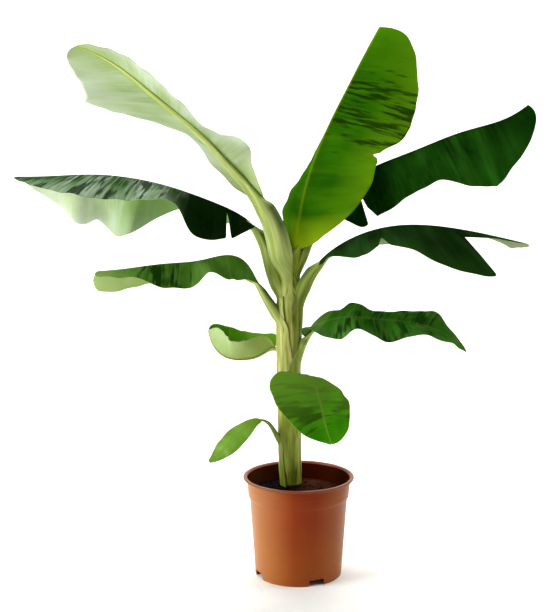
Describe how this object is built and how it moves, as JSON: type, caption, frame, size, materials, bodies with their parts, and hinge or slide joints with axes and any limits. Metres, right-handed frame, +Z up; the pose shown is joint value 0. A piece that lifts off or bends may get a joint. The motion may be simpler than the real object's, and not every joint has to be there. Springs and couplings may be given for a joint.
{
  "type": "potted banana plant",
  "caption": "Young banana plant with a sheathed stem and broad arching leaves, growing from soil in a round plastic nursery pot with drain notches.",
  "frame": {"origin": "middle of the pot's flat underside, at floor level", "axes": "+Z up, +X to the plant's right and +Y to its back, as seen from the side with the low front leaf"},
  "size_m": [0.9978, 0.6685, 1.0362],
  "materials": {
    "pot": "satin moulded terracotta colour",
    "soil": "loose dark potting mix",
    "stem": "smooth green sheaths",
    "stalk": "smooth pale green",
    "blade": "waxy green leaf"
  },
  "bodies": {
    "root": {"pot": "pot", "soil": "soil", "pseudostem": "stem", "stalk_lowest": "stalk", "stalk_front": "stalk", "stalk_cupped": "stalk", "stalk_right_low": "stalk", "stalk_left_low": "stalk", "stalk_right_mid": "stalk", "stalk_left_arch": "stalk", "stalk_right_high": "stalk", "stalk_upper_left": "stalk", "stalk_upright": "stalk", "stalk_back": "stalk", "blade_lowest": "blade", "blade_front": "blade", "blade_cupped": "blade", "blade_right_low": "blade", "blade_left_low": "blade", "blade_right_mid": "blade", "blade_left_arch": "blade", "blade_right_high": "blade", "blade_upper_left": "blade", "blade_upright": "blade", "blade_back": "blade"}
  },
  "joints": []
}
